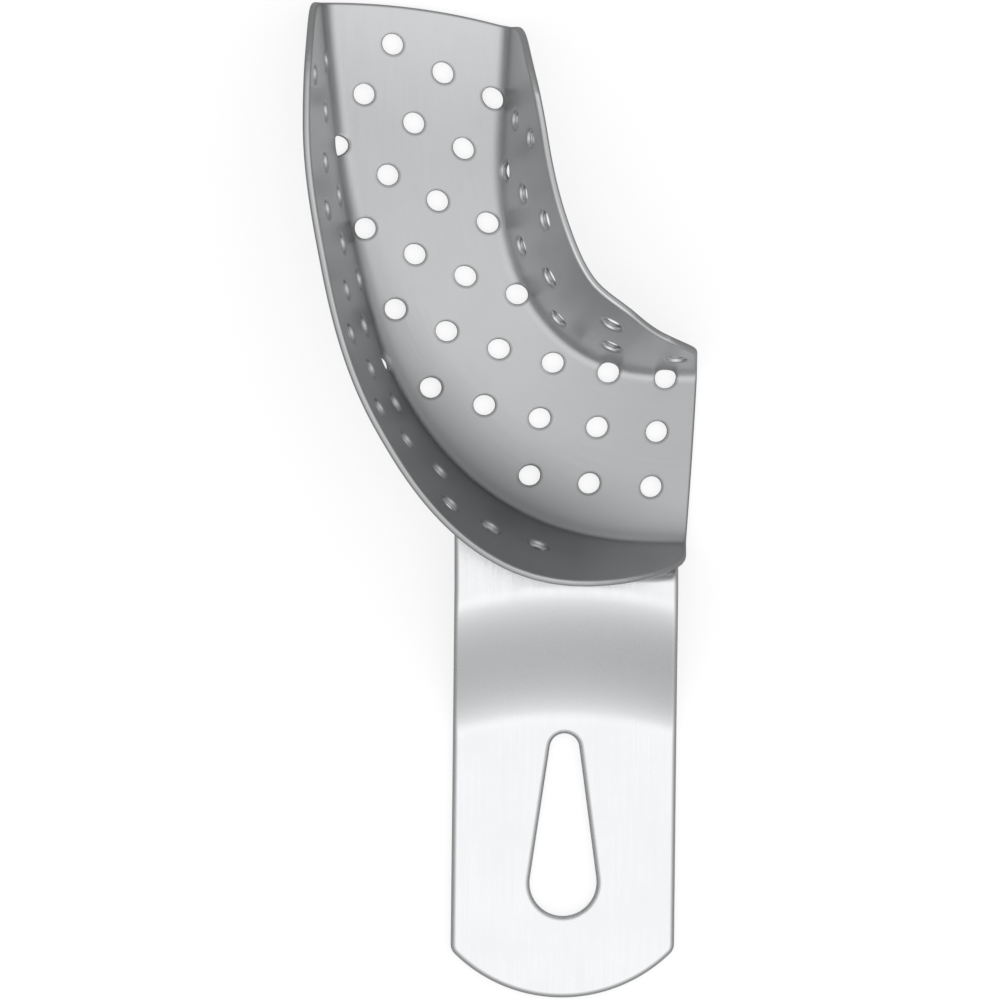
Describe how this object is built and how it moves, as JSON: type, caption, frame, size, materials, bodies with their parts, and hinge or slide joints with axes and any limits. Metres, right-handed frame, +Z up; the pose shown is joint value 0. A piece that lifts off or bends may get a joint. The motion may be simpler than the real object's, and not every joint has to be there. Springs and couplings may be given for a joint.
{
  "type": "impression tray",
  "caption": "Perforated steel quadrant impression tray: a curved trough with flared walls and a welded strip handle with a drop-shaped eye.",
  "frame": {"origin": "middle of the footprint, on the surface that the tray stands on", "axes": "+Y along the tray from the grip to the pan's rear end, +Z up out of the trough, +X towards the cut end of the arch"},
  "size_m": [0.0358, 0.0904, 0.0148],
  "materials": {
    "pan_steel": "satin, fine directional grain, bright burnished rim",
    "handle_steel": "fine satin, smoother than the pan",
    "weld_steel": "resolidified spot weld, dull"
  },
  "bodies": {
    "root": {"tray_pan": "pan_steel", "handle": "handle_steel", "weld_nugget_1": "weld_steel", "weld_nugget_2": "weld_steel", "weld_nugget_3": "weld_steel"}
  },
  "joints": []
}
